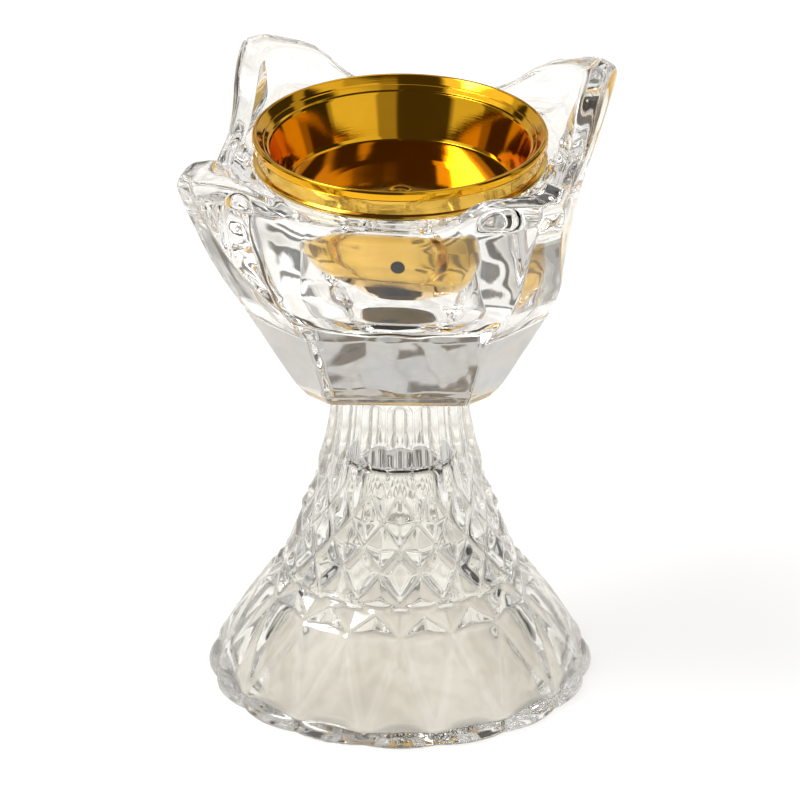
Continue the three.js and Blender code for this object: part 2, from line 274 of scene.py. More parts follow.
def flute_radius(fold, z):
    """Ridges with hollow flutes between them; each flute ends in an arch at the top."""
    arch_top = 70.4 - 1.5 * (1 - fold) ** 1.6
    depth = np.interp(z, FLUTE_DEPTH_Z, FLUTE_DEPTH) * np.clip((arch_top - z) / 0.9, 0, 1)
    return pchip(z, RIDGE_Z, RIDGE_R) - depth * np.sin(fold * math.pi / 2)


def pedestal_radius(fold, z):
    if z <= SKIRT_TOP:
        return skirt_radius(fold, z)
    if z <= BAND_TOP:
        return band_radius(fold, z)
    if z > DIAMOND_TOP:
        return flute_radius(fold, z)
    if z > FLUTE_Z:
        return np.minimum(diamond_radius(fold, z), flute_radius(fold, z))
    return diamond_radius(fold, z)


def pedestal_grid():
    """Rings from the hollow underneath, round the foot and up to the top face, with softness."""
    cols = FACETS * FACET_COLS
    half = FACET_COLS / 2
    k = np.arange(cols)
    fold = 1 - np.abs((k / half) % 2 - 1)
    angle = VIEW_TURN + (k - half) / cols * 2 * math.pi  # an apex faces the camera's side
    cos, sin = np.cos(angle), np.sin(angle)
    rings, softness = [], []

    def ring(r, z, soft):
        rings.append(np.c_[r * cos, r * sin, np.full(cols, z)])
        softness.append(soft)

    def cut_rings(heights):
        for z in heights:
            ring(pedestal_radius(fold, float(z)), float(z), 1)

    for r, z in resample(HOLLOW, HOLLOW_ROWS, pchip):
        ring(r, z, 0.5)
    for r in FOOT_FLAT_R:
        ring(r, 0.0, 0)
    lobe = FOOT_R - SCALLOP + SCALLOP * np.sin(fold * math.pi / 2) ** 0.7
    for share, z in FOOT_EDGE:
        base = 39.9 if z < 1.3 else 40.3
        ring(base + (lobe - base) * share, z, 1)
    cut_rings(SKIRT_Z + SKIRT_H * np.arange(30) / 29)
    ring(pedestal_radius(fold, SKIRT_TOP) - 0.75, 20.9, 1)  # groove over the skirt
    cut_rings(BAND_Z + BAND_H * np.arange(13) / 12)
    ring(25.75, 25.9, 1)
    ring(25.3, 26.35, 1)
    for low, high in zip(DIAMOND_Z[:-1], DIAMOND_Z[1:]):
        cut_rings(low + (high - low) * np.arange(12) / 12)
    cut_rings(np.arange(DIAMOND_TOP, 70.6, 0.5))
    for r, z in TOP_EDGE:
        ring(r, z, 0.3)
    for r in TOP_FLAT_R:
        ring(r, PEDESTAL_H, 0)
    return np.array(rings), softness


def add_cut_edges(ob, grid, normals, scale=0.16):
    """Store how far each point stands out (over 0.5) or lies in a groove (under 0.5)."""
    smooth = blur(grid, 1.6, np.ones(len(grid)), times=3)
    relief = ((grid - smooth) * normals).sum(-1).ravel()
    relief = np.clip(0.5 + 0.5 * relief / scale, 0, 1)
    relief = np.append(relief, [0.5, 0.5]).astype(np.float32)  # the two middle vertices
    # the pedestal glass turns this into painted highlights on the ridges and painted shade in the
    # grooves
    attribute = ob.data.attributes.new("cut_edge", "FLOAT", "POINT")
    attribute.data.foreach_set("value", relief)


def build_pedestal(materials):
    grid, softness = pedestal_grid()
    cut = blur(grid, 0.7, softness, times=1)
    normals = ring_normals(cut)
    z = cut[..., 2]
    fade = np.clip((z - 0.6) / 3, 0, 1) * np.clip((70.6 - z) / 2, 0, 1)
    grid = push(cut, normals, wobble(cut) * 0.06 * fade)
    grid[..., 2] = np.clip(grid[..., 2], 0, PEDESTAL_H)
    rows, cols = grid.shape[:2]
    # the bonded disc of the top face lets light straight through to the adhesive
    slot = np.zeros((rows + 1) * cols, int)
    slot[(rows - 4) * cols : (rows - 1) * cols] = 1
    slot[-cols:] = 1
    ob = ring_body("base_pedestal_glass", grid, materials, slot)
    # no cut edges on the standing face or in the plain hollow
    normals[z < 0.05] = 0
    normals[: HOLLOW_ROWS + len(FOOT_FLAT_R)] = 0
    add_cut_edges(ob, cut, normals)
    return ob


# ---------------------------------------------------------------- bowl
# The section is a square with cut corners, twisted in the lower tier.
LOWER_TWIST = 8.3  # degrees
TIER_Z = 93.3  # top of the straight-sided lower tier
BOWL_HEIGHTS = [BOWL_Z, TIER_Z, 100, 106, 112.6, 118.3, 125, 129, 132]
BOWL_HALF = [20.3, 32.2, 34.6, 36.6, 38.5, 39.7, 41.1, 41.9, 42.5]  # middle to a long side
BOWL_SIDE = [15.2, 19.2, 23.8, 27.8, 31.2, 33.6, 36.4, 37.7, 38.6]  # half a long side
BOWL_TWIST = [share * LOWER_TWIST for share in (1, 1, 0.92, 0.68, 0.36, 0.15, 0.03, 0, 0)]
# rim height by the smaller of |x| and |y|: dips in mid-side, rises towards the corners
RIM_DISTANCE = [0, 8, 15, 18.4, 22, 25, 28, 32, 37, 60]
RIM_Z = [121.9, 121.9, 122.6, 123.9, 125.9, 128.4, 130.2, 131.1, 131.6, 131.9]
LIP_H, LIP_DEPTH = 3.6, 2.6  # rounded outer edge of the rim
LONG_STEPS, SHORT_STEPS, ARC_POINTS = 56, 10, 7
BOWL_COLS = 4 * (LONG_STEPS - 1) + 4 * (SHORT_STEPS - 1) + 8 * ARC_POINTS
BASE_FLAT_R = (4.0, 9.0, BOND_R - 0.4, BOND_R, BOND_R + 0.6)
BASE_EDGE = [  # inset, height over the underside, corner rounding, softness
    (3.2, 0, 0.9, 0), (1.3, 0, 1.0, 0.3), (0.75, 0.1, 1.1, 1),
    (0.35, 0.4, 1.2, 1), (0.1, 0.85, 1.3, 1), (0, 1.4, 1.4, 1),
]
WALL_Z = 94.4  # from here the rings spread out to follow the rim
TIER_RINGS = np.r_[
    np.linspace(74.5, 91.6, 26), 92.2, 92.7, 93.05, TIER_Z, 93.55, 93.9, WALL_Z
]
# inner wall, from rim to seat: share of the way in, share of the way down
WALL_IN = [0, 0, 0.1, 0.24, 0.5, 0.8, 1.0]
WALL_DOWN = [0.04, 0.16, 0.5, 0.78, 0.94, 0.99, 1.0]
CAVITY = [  # below the seat: r, z
    (30.7, 121.5), (30.45, 120.9), (30.4, 120.2), (30.3, 114), (29.9, 107.5), (29.2, 102),
    (27.4, 97.4), (24.4, 94.2), (20, 92.7), (14, 92.4), (6, 92.4),
]


def bowl_size(z, sizes):
    """Straight up to TIER_Z, smooth above it."""
    lower = np.interp(z, BOWL_HEIGHTS[:2], sizes[:2])
    return np.where(z < TIER_Z, lower, pchip(z, BOWL_HEIGHTS[1:], sizes[1:]))


def section(half, side, twist, rounding):
    """Points [column, height, xy] of the rounded section, for arrays of sizes by height."""
    half, side, twist = (np.atleast_1d(np.asarray(v, float)) for v in (half, side, twist))
    corners = np.array([
        [-half, -side], [-side, -half], [side, -half], [half, -side],
        [half, side], [side, half], [-side, half], [-half, side],
    ])
    x, y = corners[:, 0], corners[:, 1]
    cos, sin = np.cos(twist * DEG), np.sin(twist * DEG)
    corners = np.stack([x * cos - y * sin, x * sin + y * cos], -1)
    reach = rounding * math.tan(22.5 * DEG)

    def unit(start, end):
        offset = end - start
        return offset / np.linalg.norm(offset, axis=-1, keepdims=True)

    out = []
    for i in range(8):
        before, corner, after = corners[i - 1], corners[i], corners[(i + 1) % 8]
        ahead = unit(corner, after)
        start = corner + unit(corner, before) * reach
        end = corner + ahead * reach
        out += corner_arc(start, corner, end, ARC_POINTS)
        edge_end = after - ahead * reach
        steps = LONG_STEPS if i % 2 else SHORT_STEPS
        out += [end + (edge_end - end) * k / steps for k in range(1, steps)]
    return np.array(out)


def level_ring(z, half, side, rounding):
    points = section(half, side, LOWER_TWIST, rounding)[:, 0]
    return np.c_[points, np.full(BOWL_COLS, z)]


def wall_ring(z, inset=0.0):
    """One ring of the outside; z may differ from column to column."""
    z = z * np.ones(BOWL_COLS)
    half = bowl_size(z, BOWL_HALF) - inset
    side = bowl_size(z, BOWL_SIDE) - inset * 0.6
    points = section(half, side, bowl_size(z, BOWL_TWIST), rounding=1.4)
    column = np.arange(BOWL_COLS)
    return np.c_[points[column, column], z]


def bowl_outside(rim):
    """(ring, softness) pairs from the underside to the crown of the rim."""
    base = level_ring(BOWL_Z, 19.0, 14.3, rounding=1.0)
    angle = np.arctan2(base[:, 1], base[:, 0])
    flat_z = np.full(BOWL_COLS, BOWL_Z)
    rings = [(np.c_[r * np.cos(angle), r * np.sin(angle), flat_z], 0) for r in BASE_FLAT_R]
    for inset, rise, rounding, soft in BASE_EDGE:
        half, side = BOWL_HALF[0] - inset, BOWL_SIDE[0] - inset * 0.75
        rings.append((level_ring(BOWL_Z + rise, half, side, rounding), soft))
    rings += [(wall_ring(z), 1) for z in TIER_RINGS]
    for k in range(1, 45):
        rings.append((wall_ring(WALL_Z + (rim - LIP_H - WALL_Z) * k / 44), 1))
    for k in range(1, 11):
        turn = k / 10 * 90 * DEG
        z = rim - LIP_H * (1 - math.sin(turn))
        rings.append((wall_ring(z, LIP_DEPTH * (1 - math.cos(turn))), 1))
    return rings


def bowl_inside(crown, rim):
    """(ring, softness) pairs from the crown down to the floor of the cavity."""
    angle = np.arctan2(crown[:, 1], crown[:, 0])
    cos, sin = np.cos(angle), np.sin(angle)
    rings = []

    def rounded_square(half, power):
        return half / (np.abs(cos) ** power + np.abs(sin) ** power) ** (1 / power)

    def ring(r, z, soft=1.0):
        rings.append((np.c_[r * cos, r * sin, z * np.ones(BOWL_COLS)], soft))

    crown_r = np.hypot(crown[:, 0], crown[:, 1])
    rim_r = np.minimum(rounded_square(36.0, 16), crown_r - 0.8)
    for share in (0.25, 0.5, 0.75, 0.93):
        ring(crown_r + (rim_r - crown_r) * share, rim - 0.2 * share)
    ring(rim_r, rim - 0.32)
    wall_r = np.minimum(rounded_square(35.2, 14), rim_r - 0.3)
    for k in range(1, 25):
        place = k / 24 * 6
        inward, down = np.interp(place, range(7), WALL_IN), np.interp(place, range(7), WALL_DOWN)
        ring(wall_r + (32.6 - wall_r) * inward, rim - 0.2 - (rim - 0.2 - SEAT_Z) * down)
    for r in (32.2, 31.8, 31.3, 30.95):
        ring(r, SEAT_Z - 0.04, 0.2)
    for r, z in resample(CAVITY, 64, np.interp):
        ring(r, z)
    return rings


def build_bowl(materials):
    top = wall_ring(132.0)
    rim = pchip(np.minimum(np.abs(top[:, 0]), np.abs(top[:, 1])), RIM_DISTANCE, RIM_Z)
    rings = bowl_outside(rim)
    rings += bowl_inside(rings[-1][0], rim)
    grid = blur(np.array([ring for ring, _ in rings]), 0.8, [soft for _, soft in rings], times=2)
    normals = ring_normals(grid)
    z = grid[..., 2]
    r = np.hypot(grid[..., 0], grid[..., 1])
    near_seat = np.exp(-(((z - SEAT_Z) / 0.9) ** 2)) * (r < 33.5)
    fade = np.clip((z - 73) / 3, 0, 1) * (1 - near_seat)
    grid = push(grid, normals, wobble(grid) * 0.15 * fade)
    # finer ripples on the lower tier, strongest 14 degrees to the right of the camera's side
    turn = np.arctan2(grid[..., 1], grid[..., 0]) - (VIEW_TURN + 14 * DEG)
    z = grid[..., 2]
    tier = np.clip((z - 75) / 3, 0, 1) * np.clip((95.5 - z) / 2.5, 0, 1)
    tier = tier * (0.35 + 0.65 * np.clip(np.cos(turn), 0, 1) ** 3)
    grid = push(grid, normals, wobble(grid * 1.7 + 31.0) * 0.13 * tier)
    rows = len(grid)
    slot = np.zeros((rows + 1) * BOWL_COLS, int)
    slot[: 3 * BOWL_COLS] = 1  # the bonded disc of the underside
    slot[(rows - 1) * BOWL_COLS : rows * BOWL_COLS] = 1  # and its fan
    return ring_body("bowl_glass_body", grid, materials, slot)


# ---------------------------------------------------------------- adhesive
def build_bond(materials):
    """Thin disc between pedestal and bowl, with a wavy, slightly hollow edge."""
    cols, edge_rows = 160, 9
    angle = np.arange(cols) / cols * 2 * math.pi
    wave = 0.10 * np.sin(3 * angle + 0.7) + 0.07 * np.sin(7 * angle + 2.1)
    wave = wave + 0.05 * np.sin(12 * angle)
    flat_r = (4, 9, BOND_R - 0.45)
    rings = [(r, PEDESTAL_H, 0) for r in flat_r]  # r, z, share of the wave
    for k in range(edge_rows):
        turn = k / (edge_rows - 1) * math.pi
        z = PEDESTAL_H + (BOWL_Z - PEDESTAL_H) / 2 * (1 - math.cos(turn))
        rings.append((BOND_R - 0.33 - 0.12 * math.sin(turn), z, 1))
    rings += [(r, BOWL_Z, 0) for r in reversed(flat_r)]
    cos, sin = np.cos(angle), np.sin(angle)
    grid = np.array([
        np.c_[(r + wave * share) * cos, (r + wave * share) * sin, np.full(cols, z)]
        for r, z, share in rings
    ])
    slot = np.ones((len(rings) + 1) * cols, int)
    slot[2 * cols : (3 + edge_rows) * cols] = 0
    return ring_body("bond_layer_cured", grid, materials, slot)


# ---------------------------------------------------------------- cup
# Outlines run from the axis under the piece, round its edge and back to the axis above it:
# r, z, corner radius.
SHELL = [
    (0, 97.0), (4, 97.1, 6), (8, 97.6, 6), (13.5, 99.2, 6), (18.5, 101.8, 8), (23.5, 104.9, 8),
    (27.4, 108.2, 6), (29.2, 111.6, 6), (29.8, 116, 6), (30.0, 120.6, 0.6),
    (30.2, SEAT_Z, 0.15), (31.75, SEAT_Z, 0.2), (31.95, 122.1, 0.25), (31.7, 122.6, 0.25),
    (31.0, 122.8, 0.12), (31.0, 127.4, 0.1), (30.6, 127.4, 0.1), (30.6, 122.6, 0.2),
    (30.2, 122.1, 0.2), (29.6, 120.7, 0.6), (29.4, 116.1, 6), (28.8, 111.8, 6),
    (27.1, 108.6, 6), (23.3, 105.35, 8), (18.3, 102.25, 8), (13.4, 99.65, 6), (7.9, 98.05, 6),
    (3.9, 97.55, 6), (0, 97.45),
]
DISH_Z = 114.5  # upper face of the liner's flat floor
LINER = [
    (0, DISH_Z - 0.9), (2.1, DISH_Z - 0.9, 0.2), (2.6, DISH_Z - 0.45, 0.3),
    (15.6, DISH_Z - 0.45, 5), (20.1, DISH_Z, 5), (24.3, DISH_Z + 0.65, 0.8),
    (25.3, DISH_Z + 1.3, 0.8), (28.5, 124.8, 0.8), (28.9, 125.2, 0.5), (30.5, 127.4, 0.1),
    (31.05, 127.4, 0.05), (31.15, 126.2, 0.05), (31.8, 126.2, 0.12), (32, 126.5, 0.2),
    (32, 127.9, 0.35), (31.75, 128.3, 0.25), (31.4, 128.4, 0.35), (31.0, 128.3, 0.3),
    (29.85, 127.0, 0.12), (29.6, 126.65, 0.12), (29.4, 126.6, 0.1), (28.75, 125.72, 0.2),
    (28.3, 125.48, 0.2), (28.05, 125.0, 0.25), (25.1, DISH_Z + 1.85, 0.5),
    (24.75, DISH_Z + 1.25, 0.2), (24.2, DISH_Z + 1.05, 0.2), (20.0, DISH_Z + 0.45, 8),
    (17.5, DISH_Z + 0.12, 6), (15.5, DISH_Z, 3), (2.5, DISH_Z, 0.4), (1.9, DISH_Z - 0.35, 0.25),
    (0, DISH_Z - 0.4),
]
VENT_R, VENT_Z = 1.6, 112.2
VENT_REACH = (25.5, 33.0)  # ends of the vent cutter, from the axis


def rounded(outline, arc_points):
    points = [np.array(p[:2], float) for p in outline]
    out = [points[0]]
    for i in range(1, len(points) - 1):
        corner, radius = points[i], outline[i][2]
        back, ahead = points[i - 1] - corner, points[i + 1] - corner
        back_len, ahead_len = np.linalg.norm(back), np.linalg.norm(ahead)
        back, ahead = back / back_len, ahead / ahead_len
        half = math.acos(max(-1, min(1, float(back @ ahead)))) / 2
        reach = min(radius / max(math.tan(half), 1e-6), 0.48 * back_len, 0.48 * ahead_len)
        out += corner_arc(corner + back * reach, corner, corner + ahead * reach, arc_points)
    return out + [points[-1]]


def dense(outline, step):
    """Divides the segments so that none is longer than step."""
    out = [outline[0]]
    for start, end in zip(outline[:-1], outline[1:]):
        count = max(1, int(np.ceil(np.linalg.norm(end - start) / step)))
        out += [start + (end - start) * k / count for k in range(1, count + 1)]
    return out


def turned(name, outline, materials, segments, wave):
    """A body turned round Z, its skin pushed about by wave."""
    angle = np.arange(segments) / segments * 2 * math.pi
    cos, sin = np.cos(angle), np.sin(angle)
    grid = np.array([np.c_[r * cos, r * sin, np.full(segments, z)] for r, z in outline[1:-1]])
    grid = push(grid, ring_normals(grid), wobble(grid * 0.45) * wave)
    ends = [[0, 0, outline[0][1]], [0, 0, outline[-1][1]]]
    return ring_body(name, grid, materials, ends=ends)


def vent_cutter():
    """A short rod laid across the shell wall on the camera's side."""
    angles = np.arange(40) / 40 * 2 * math.pi
    outward = np.array([math.cos(VIEW_TURN), math.sin(VIEW_TURN), 0])
    across = np.array([-math.sin(VIEW_TURN), math.cos(VIEW_TURN), 0])
    inner, outer = VENT_REACH
    grid = np.array([
        [
            outward * d + across * (r * math.cos(t)) + np.array([0, 0, VENT_Z + r * math.sin(t)])
            for t in angles
        ]
        for d, r in ((inner, VENT_R / 2), (inner, VENT_R), (outer, VENT_R), (outer, VENT_R / 2))
    ])
    ends = [outward * d + [0, 0, VENT_Z] for d in VENT_REACH]
    return ring_body("vent_cutter", grid, [], ends=ends)


def build_shell(materials):
    outline = dense(rounded(SHELL, arc_points=5), step=1.1)
    ob = turned("cup_shell_gold", outline, materials, segments=192, wave=0.02)
    cutter = vent_cutter()
    vent = ob.modifiers.new("vent", "BOOLEAN")
    vent.operation = "DIFFERENCE"
    vent.object = cutter
    vent.solver = "EXACT"
    depsgraph = bpy.context.evaluated_depsgraph_get()
    mesh = bpy.data.meshes.new_from_object(ob.evaluated_get(depsgraph))
    ob.modifiers.clear()
    ob.data = mesh
    bpy.data.objects.remove(cutter)
    shade_smooth(mesh)
    mesh.set_sharp_from_angle(angle=math.radians(50))
    return ob


def build_liner(materials):
    outline = dense(rounded(LINER, arc_points=6), step=1.2)
    return turned("cup_liner_gold", outline, materials, segments=224, wave=0.03)


# ---------------------------------------------------------------- node helpers
class Nodes:
    """An emptied node tree; every input takes a socket to link or a plain value."""

    def __init__(self, tree):
        self.tree = tree
        for node in list(tree.nodes):
            tree.nodes.remove(node)

    def feed(self, node, inputs):
        for key, value in inputs.items():
            if isinstance(value, bpy.types.NodeSocket):
                self.tree.links.new(value, node.inputs[key])
            else:
                node.inputs[key].default_value = value

    def new(self, kind, inputs=None, **props):
        node = self.tree.nodes.new(kind)
        for key, value in props.items():
            setattr(node, key, value)
        self.feed(node, inputs or {})
        return node

    def math(self, operation, a, b=0.0):
        return self.new("ShaderNodeMath", {0: a, 1: b}, operation=operation).outputs[0]

    def add(self, a, b):
        return self.math("ADD", a, b)

    def multiply(self, a, b):
        return self.math("MULTIPLY", a, b)

    def step(self, x, low, high):
        """0 below low, 1 above high, smooth between."""
        inputs = {"Value": x, "From Min": low, "From Max": high}
        node = self.new("ShaderNodeMapRange", inputs, interpolation_type="SMOOTHSTEP")
        return node.outputs["Result"]

    def window(self, x, rise, fall):
        """1 between two smooth steps, each given as (low, high)."""
        return self.multiply(self.step(x, *rise), self.math("SUBTRACT", 1.0, self.step(x, *fall)))

    def noise(self, vector, scale, detail=3.0, rough=0.5):
        inputs = {"Vector": vector, "Scale": scale, "Detail": detail, "Roughness": rough}
        return self.new("ShaderNodeTexNoise", inputs).outputs["Fac"]

    def ramp(self, x, stops):
        node = self.new("ShaderNodeValToRGB", {"Fac": x})
        elements = node.color_ramp.elements
        while len(elements) < len(stops):
            elements.new(0.5)
        for element, (position, color) in zip(elements, stops):
            element.position = position
            element.color = (*color, 1)
        return node.outputs["Color"]

    def mix(self, a, b, factor, blend="MIX"):
        node = self.new("ShaderNodeMix", data_type="RGBA", blend_type=blend)
        self.feed(node, {"Factor": factor, "A": a, "B": b})
        return node.outputs["Result"]

    def tint(self, a, b, factor=1.0):
        return self.mix(a, b, factor, "MULTIPLY")

    def bump(self, height, strength, distance, **more):
        inputs = {"Height": height, "Strength": strength, "Distance": distance, **more}
        return self.new("ShaderNodeBump", inputs).outputs["Normal"]

    def split(self, vector):
        return self.new("ShaderNodeSeparateXYZ", {0: vector}).outputs

    def axis_distance(self, x, y):
        return self.math("SQRT", self.add(self.multiply(x, x), self.multiply(y, y)))

    def across_view(self, x, y):
        """Distance to the camera's right."""
        return self.add(self.multiply(x, VIEW_COS), self.multiply(y, VIEW_SIN))


class MaterialNodes(Nodes):
    def __init__(self, name):
        self.material = bpy.data.materials.new(name)
        self.material.use_nodes = True
        super().__init__(self.material.node_tree)
        self.output = self.new("ShaderNodeOutputMaterial")
        self.principled = self.new("ShaderNodeBsdfPrincipled")
        self.coords = self.new("ShaderNodeTexCoord").outputs["Object"]

    def finish(self, shader_node, inputs):
        """Feed the Principled shader, put shader_node on the surface, return the material."""
        self.feed(self.principled, inputs)
        self.feed(self.output, {"Surface": shader_node.outputs[0]})
        return self.material


# ---------------------------------------------------------------- materials
def glass_material(name, color, cut=None):
    """Clear pressed glass that lamps reach through; cut is (groove, facet) colours of painted
    shade, and the ridges between them are left bright as a painted highlight.
    """
    nodes = MaterialNodes(name)
    coords = nodes.coords
    drift = nodes.noise(coords, scale=55, detail=2)
    body = nodes.ramp(drift, [(0.3, [c * 0.995 for c in color]), (0.7, color)])
    if cut:
        # painted shade darkens the grooves and dims the facets, painted highlights leave the ridges
        # between them clear and bright
        groove, facet = cut
        between = [0.5 * (u + v) for u, v in zip(groove, facet)]
        edge = nodes.new("ShaderNodeAttribute", attribute_name="cut_edge").outputs["Fac"]
        painted_cut_light = [(0.0, groove), (0.22, between), (0.38, facet), (0.52, facet), (0.66, (1, 1, 1))]
        body = nodes.tint(body, nodes.ramp(edge, painted_cut_light))
    smear = nodes.step(nodes.noise(coords, scale=260, detail=4, rough=0.6), low=0.56, high=0.8)
    uneven = nodes.noise(coords, scale=120, detail=2, rough=0.4)
    rays = nodes.new("ShaderNodeLightPath").outputs
    see_through = nodes.new("ShaderNodeBsdfTransparent", {"Color": (0.90, 0.897, 0.885, 1)})
    surface = nodes.new("ShaderNodeMixShader", {
        "Fac": nodes.math("MAXIMUM", rays["Is Shadow Ray"], rays["Is Diffuse Ray"]),
        1: nodes.principled.outputs["BSDF"],
        2: see_through.outputs["BSDF"],
    })
    return nodes.finish(surface, {
        "IOR": 1.52,
        "Transmission Weight": 1.0,
        "Base Color": body,
        "Roughness": nodes.multiply(smear, 0.012),
        "Normal": nodes.bump(uneven, strength=0.10, distance=0.0004),
    })


def contact_material(name):
    """Bonded faces: light goes straight on, with a faint uneven tint."""
    nodes = MaterialNodes(name)
    cloud = nodes.noise(nodes.coords, scale=240, detail=4)
    return nodes.finish(nodes.principled, {
        "IOR": 1.0,
        "Transmission Weight": 1.0,
        "Roughness": 0.0,
        "Specular IOR Level": 0.0,
        "Base Color": nodes.ramp(cloud, [(0.35, (0.975, 0.975, 0.965)), (0.7, (1.0, 1.0, 0.995))]),
    })


def gold_material(name, light, deep, rough):
    """Bright plate: faint turning marks, soft pools of deeper colour, fine wipe marks."""
    nodes = MaterialNodes(name)
    coords = nodes.coords
    pools = nodes.noise(coords, scale=70, detail=3, rough=0.55)
    x, y, z = nodes.split(coords)
    # radius plus height runs along the profile, so the marks are rings round the axis
    profile = nodes.add(nodes.axis_distance(x, y), nodes.multiply(z, 1.0))
    profile_vector = nodes.new("ShaderNodeCombineXYZ", {0: profile}).outputs[0]
    marks = nodes.noise(profile_vector, scale=2600, detail=2, rough=0.6)
    wipes = nodes.noise(coords, scale=900, detail=5, rough=0.65)
    dents = nodes.noise(coords, scale=60, detail=1.5, rough=0.4)
    spun = nodes.bump(marks, strength=0.06, distance=0.00012)
    mark_rough = nodes.add(nodes.multiply(marks, 0.05), rough - 0.05)
    return nodes.finish(nodes.principled, {
        "Metallic": 1.0,
        "Base Color": nodes.ramp(pools, [(0.32, deep), (0.68, light)]),
        "Roughness": nodes.add(nodes.multiply(wipes, 0.05), mark_rough),
        "Normal": nodes.bump(dents, strength=0.22, distance=0.0006, Normal=spun),
    })


# cut: painted shade colours for the grooves and the facets of the pedestal
PEDESTAL_GLASS = glass_material(
    "pedestal_pressed_glass", (1.0, 1.0, 0.992), cut=((0.50, 0.50, 0.51), (0.91, 0.90, 0.875))
)
BOWL_GLASS = glass_material("bowl_pressed_glass", (0.99, 0.99, 0.982))
CONTACT = contact_material("bonded_contact")
BOND_EDGE = glass_material("cured_adhesive_edge", (0.95, 0.95, 0.92))
SHELL_GOLD = gold_material(
    "shell_gold_plate", light=(0.83, 0.53, 0.10), deep=(0.75, 0.45, 0.07), rough=0.09
)
LINER_GOLD = gold_material(
    "liner_gold_plate", light=(0.86, 0.45, 0.022), deep=(0.80, 0.39, 0.014), rough=0.07
)

PIECES = [  # builder, materials, CAD node, body, slot
    (build_pedestal, [PEDESTAL_GLASS, CONTACT], "base_pedestal", "stand", "pedestal_glass"),
    (build_bond, [BOND_EDGE, CONTACT], "bond_layer", "stand", "bond_adhesive"),
    (build_bowl, [BOWL_GLASS, CONTACT], "bowl", "stand", "bowl_glass"),
    (build_shell, [SHELL_GOLD], "cup_shell", "cup", "shell_gold"),
    (build_liner, [LINER_GOLD], "cup_liner", "cup", "liner_gold"),
]
pieces = [build(materials) for build, materials, *_ in PIECES]
for piece, (_, _, cad_node, body_name, slot_name) in zip(pieces, PIECES):
    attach(piece, body_name)
    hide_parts(cad_node)

# ---------------------------------------------------------------- floor
# The pale sweep as the glass shows it, by distance in mm from the axis: warm and dim under the
# glass, bright where light gathers beside it, falling off towards the edge of the sweep.
FLOOR_SPAN = 800
FLOOR_IN_GLASS = [
    (0, (0.90, 0.865, 0.79)), (22, (0.86, 0.825, 0.755)), (31, (0.82, 0.79, 0.725)),
    (35, (0.78, 0.76, 0.71)), (38, (0.38, 0.37, 0.355)), (41.5, (0.34, 0.33, 0.32)),
    (44.5, (1.0, 0.99, 0.96)), (51, (0.66, 0.64, 0.60)), (57, (0.95, 0.93, 0.89)),
    (66, (1.0, 1.0, 0.98)), (80, (0.74, 0.72, 0.68)), (96, (1.0, 0.99, 0.965)),
    (125, (0.88, 0.865, 0.83)), (170, (0.86, 0.845, 0.81)), (195, (1.0, 1.0, 0.985)),
    (300, (0.97, 0.96, 0.94)), (FLOOR_SPAN, (0.82, 0.81, 0.78)),
]
# towards the sides the sweep ends in darker bands
SIDE_BANDS = [
    (0, (1, 1, 1)), (300, (1, 1, 1)), (325, (0.24, 0.24, 0.235)), (395, (0.22, 0.22, 0.215)),
    (425, (1, 1, 1)), (510, (1, 1, 1)), (545, (0.20, 0.20, 0.195)), (660, (0.16, 0.16, 0.155)),
    (710, (0.95, 0.95, 0.93)), (FLOOR_SPAN, (0.9, 0.9, 0.88)),
]
# light gathered into soft pools, by noise level
LIGHT_POOLS = [
    (0.30, (0.88, 0.875, 0.865)), (0.47, (0.95, 0.945, 0.94)), (0.56, (1, 1, 1)), (0.70, (1, 1, 1)),
]


def floor_material():
    """Near white to the camera; other rays see the pattern of light and bands."""
    nodes = MaterialNodes("pale_floor")
    coords = nodes.coords
    x, y, _ = nodes.split(coords)
    uneven = nodes.add(0.93, nodes.multiply(nodes.noise(coords, scale=38, detail=2), 0.14))
    reach = nodes.multiply(nodes.axis_distance(x, y), uneven)

    def by_distance(stops):
        place = nodes.multiply(reach, 1 / (FLOOR_SPAN * MM))
        return nodes.ramp(place, [(distance / FLOOR_SPAN, color) for distance, color in stops])

    across = nodes.across_view(x, y)
    to_camera = nodes.math("SUBTRACT", nodes.multiply(x, VIEW_SIN), nodes.multiply(y, VIEW_COS))
    sideways = nodes.math("DIVIDE", nodes.math("ABSOLUTE", across), reach)
    side = nodes.step(sideways, low=0.62, high=0.80)
    lit = nodes.tint(by_distance(FLOOR_IN_GLASS), by_distance(SIDE_BANDS), side)
    # one more dark band lies to the right in front
    diagonal = nodes.math("DIVIDE", nodes.math("MINIMUM", across, to_camera), reach)
    front_band = nodes.multiply(
        nodes.step(diagonal, low=0.50, high=0.58),
        nodes.window(reach, rise=(0.168, 0.178), fall=(0.235, 0.25)),
    )
    lit = nodes.tint(lit, (0.24, 0.235, 0.23, 1), front_band)
    pools = nodes.noise(coords, scale=105, detail=1.5, rough=0.45)
    lit = nodes.tint(lit, nodes.ramp(pools, LIGHT_POOLS))
    grain = nodes.noise(coords, scale=3)
    seen = nodes.ramp(grain, [(0.3, (0.955, 0.955, 0.955)), (0.7, (0.965, 0.965, 0.965))])
    camera_ray = nodes.new("ShaderNodeLightPath").outputs["Is Camera Ray"]
    return nodes.finish(nodes.principled, {
        "Base Color": nodes.mix(lit, seen, camera_ray),
        "Roughness": 0.8,
        "Specular IOR Level": 0.0,
    })


def build_floor():
    cols, radii = 96, [0.0001, 60, 200, 600, 1500, 3500]
    angles = [2 * math.pi * j / cols for j in range(cols)]
    verts = [(r * math.cos(a), r * math.sin(a), -0.06) for r in radii for a in angles]
    faces = ring_faces(len(radii), cols)[: -2 * cols]  # without the end fans
    # the quads keep a body's winding
    faces = [(a, b, c, d) for a, b, c, d in faces]
    return mesh_object("studio_floor", verts, faces, [floor_material()])


build_floor()

